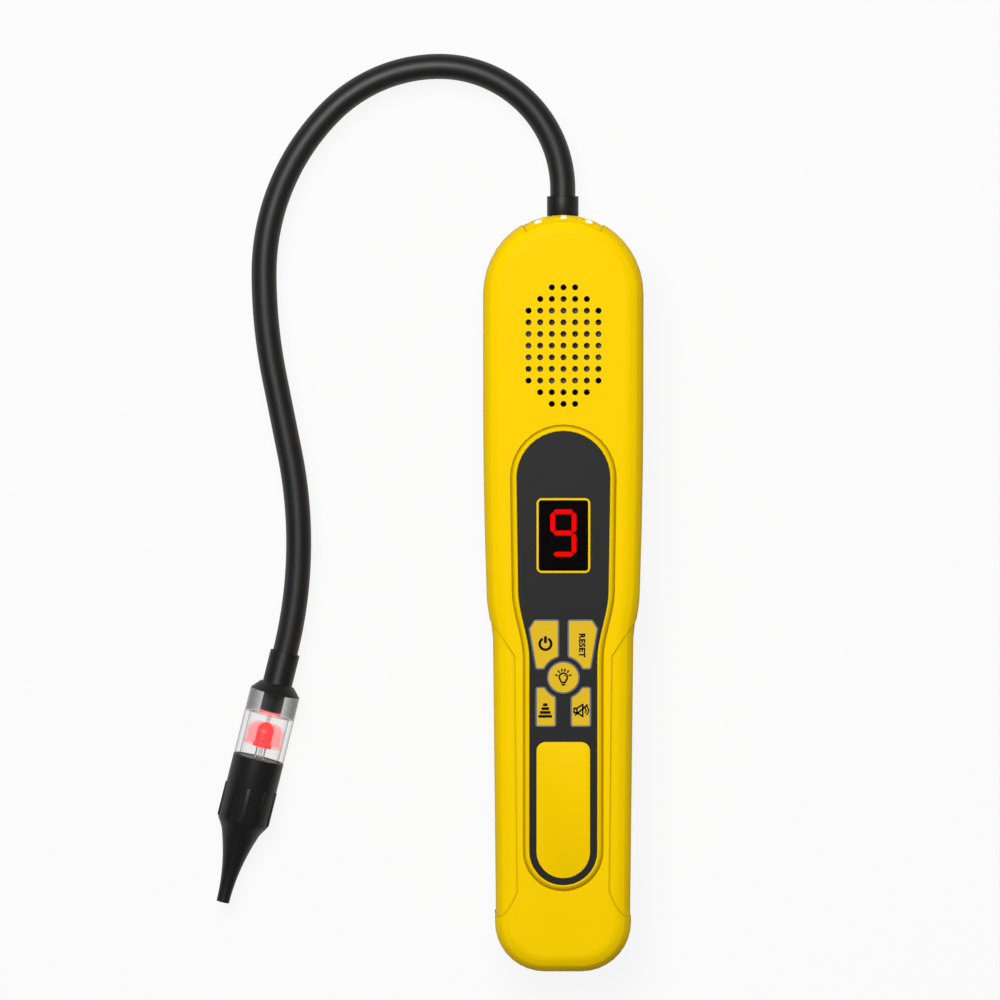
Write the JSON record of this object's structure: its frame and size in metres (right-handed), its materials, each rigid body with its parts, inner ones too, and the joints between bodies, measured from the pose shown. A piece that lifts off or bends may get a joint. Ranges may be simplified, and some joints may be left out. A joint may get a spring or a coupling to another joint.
{
  "type": "refrigerant leak detector",
  "caption": "Handheld refrigerant leak detector: slim moulded case with digit display, keys and grille, bendable neck and clear sensing head with a ribbed nozzle.",
  "frame": {"origin": "on the back face, on the case's centre line, under the middle of the display", "axes": "+Z out of the control face, +Y along the case towards the neck end, +X to the reader's right; it lies on its back"},
  "size_m": [0.1286, 0.275, 0.0335],
  "materials": {
    "yellow": "satin",
    "charcoal": "fine texture",
    "panel_black": "satin",
    "amber": "satin",
    "window": "smoked",
    "digit": "lit",
    "module": "matt",
    "board": "lacquer",
    "cone": "matt",
    "lamp": "clear",
    "neck": "satin sleeve",
    "black": "satin",
    "clear": "clear",
    "red_lens": "tinted",
    "red_lamp": "tinted",
    "sleeve": "smooth",
    "steel": "plated",
    "felt": "felt",
    "cell": "sleeved"
  },
  "bodies": {
    "case": {"front_shell": "yellow", "rear_shell": "charcoal", "panel_rim": "yellow", "control_panel": "panel_black", "label_plate": "yellow", "display_bezel": "yellow", "display_window": "window", "display_module": "module", "digit_segments": "digit", "tact_switches": "module", "main_board": "board", "board_screws": "steel", "speaker": "cone", "lamp_leds": "lamp", "lamp_board": "board", "neck_ferrule": "black", "neck_nut": "steel", "gooseneck": "neck", "battery_cells": "cell", "battery_contacts": "steel", "case_screws": "steel"},
    "probe_head": {"head_collar": "black", "sight_tube": "clear", "alarm_lens": "red_lens", "alarm_led": "red_lamp", "sensor_lead": "sleeve", "sensor_base": "black", "gas_sensor": "steel"},
    "nozzle": {"nozzle": "black", "nozzle_filter": "felt"},
    "power_key": {"power_key": "amber"},
    "reset_key": {"reset_key": "amber"},
    "lamp_key": {"lamp_key": "amber"},
    "sensitivity_key": {"sensitivity_key": "amber"},
    "mute_key": {"mute_key": "amber"},
    "battery_door": {"battery_door": "charcoal"}
  },
  "joints": [
    {"name": "neck_bend", "type": "hinge", "parent": "case", "child": "probe_head", "pos_m": [-0.0371, 0.14, 0.008], "axis": [0, 0, 1], "range_deg": [-75, 12], "deforming": ["gooseneck"]},
    {"name": "nozzle_pull", "type": "slide", "parent": "probe_head", "child": "nozzle", "axis": [-0.2436, -0.9699, 0], "range_m": [0, 0.009]},
    {"name": "power_key_press", "type": "slide", "parent": "case", "child": "power_key", "axis": [0, 0, -1], "range_m": [0, 0.0004], "stiffness_N_per_m": 2000, "springref_m": -0.0001},
    {"name": "reset_key_press", "type": "slide", "parent": "case", "child": "reset_key", "axis": [0, 0, -1], "range_m": [0, 0.0004], "stiffness_N_per_m": 2000, "springref_m": -0.0001},
    {"name": "lamp_key_press", "type": "slide", "parent": "case", "child": "lamp_key", "axis": [0, 0, -1], "range_m": [0, 0.0004], "stiffness_N_per_m": 2000, "springref_m": -0.0001},
    {"name": "sensitivity_key_press", "type": "slide", "parent": "case", "child": "sensitivity_key", "axis": [0, 0, -1], "range_m": [0, 0.0004], "stiffness_N_per_m": 2000, "springref_m": -0.0001},
    {"name": "mute_key_press", "type": "slide", "parent": "case", "child": "mute_key", "axis": [0, 0, -1], "range_m": [0, 0.0004], "stiffness_N_per_m": 2000, "springref_m": -0.0001},
    {"name": "door_hinge", "type": "hinge", "parent": "case", "child": "battery_door", "pos_m": [0, -0.11492, 0.00108], "axis": [-1, 0, 0], "range_deg": [0, 75]}
  ]
}
